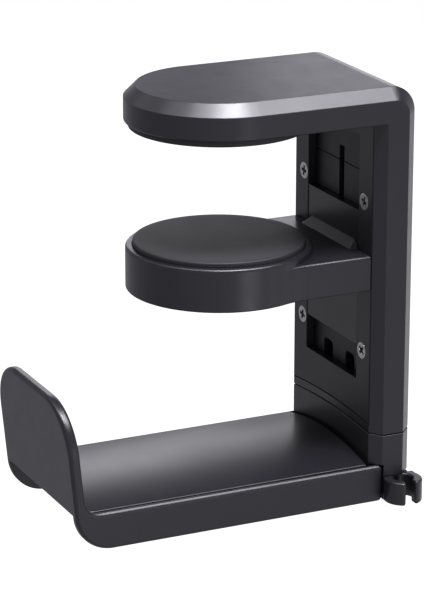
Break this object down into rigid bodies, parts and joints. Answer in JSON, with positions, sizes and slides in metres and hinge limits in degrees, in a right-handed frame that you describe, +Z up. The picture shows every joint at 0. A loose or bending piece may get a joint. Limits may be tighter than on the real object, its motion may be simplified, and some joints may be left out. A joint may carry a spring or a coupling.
{
  "type": "headphone hook",
  "caption": "Desk-clamp headphone hook: fixed upper jaw, sprung sliding lower jaw with round pads, swivelling J-shaped tray and a small cable clip.",
  "frame": {"origin": "centre of the top pad's underside, the face that rests on the desk, on the jaws' common axis", "axes": "+Z up, -X towards the clamp's open end and the hook's lip, +X towards the spine, the cable clip on -Y"},
  "size_m": [0.0935, 0.0523, 0.1047],
  "materials": {
    "casing": "satin moulded charcoal",
    "cover": "satin moulded charcoal",
    "inner_moulding": "matt moulded black",
    "pad_rubber": "fine-grained matt rubber",
    "liner": "smooth satin rubber",
    "screw_steel": "bright zinc",
    "pin_steel": "plain turned steel",
    "spring_steel": "drawn spring wire"
  },
  "bodies": {
    "root": {"outer_shell": "casing", "top_pad": "pad_rubber", "front_cover": "cover", "cover_screws": "screw_steel", "upper_bracket": "inner_moulding", "guide_panel": "inner_moulding", "anchor_pin": "pin_steel", "jaw_spring_left": "spring_steel", "jaw_spring_right": "spring_steel"},
    "jaw": {"lower_jaw": "casing", "jaw_pad": "pad_rubber", "spring_yoke": "inner_moulding", "yoke_pin": "pin_steel", "yoke_dowel": "pin_steel"},
    "hook": {"swivel_base": "casing", "swivel_bolt": "screw_steel", "swivel_washer": "pin_steel", "wave_washer": "pin_steel", "swivel_nut": "screw_steel", "hook_arm": "casing", "tray_liner": "liner", "arm_screws": "screw_steel", "cable_clip": "casing"}
  },
  "joints": [
    {"name": "jaw_slide", "type": "slide", "parent": "root", "child": "jaw", "axis": [0, 0, 1], "range_m": [-0.0086, 0.0185], "stiffness_N_per_m": 520, "springref_m": 0.02, "deforming": ["jaw_spring_left", "jaw_spring_right"]},
    {"name": "hook_swivel", "type": "hinge", "parent": "root", "child": "hook", "pos_m": [0.03665, 0, -0.0755], "axis": [0, 0, 1], "continuous": true}
  ]
}
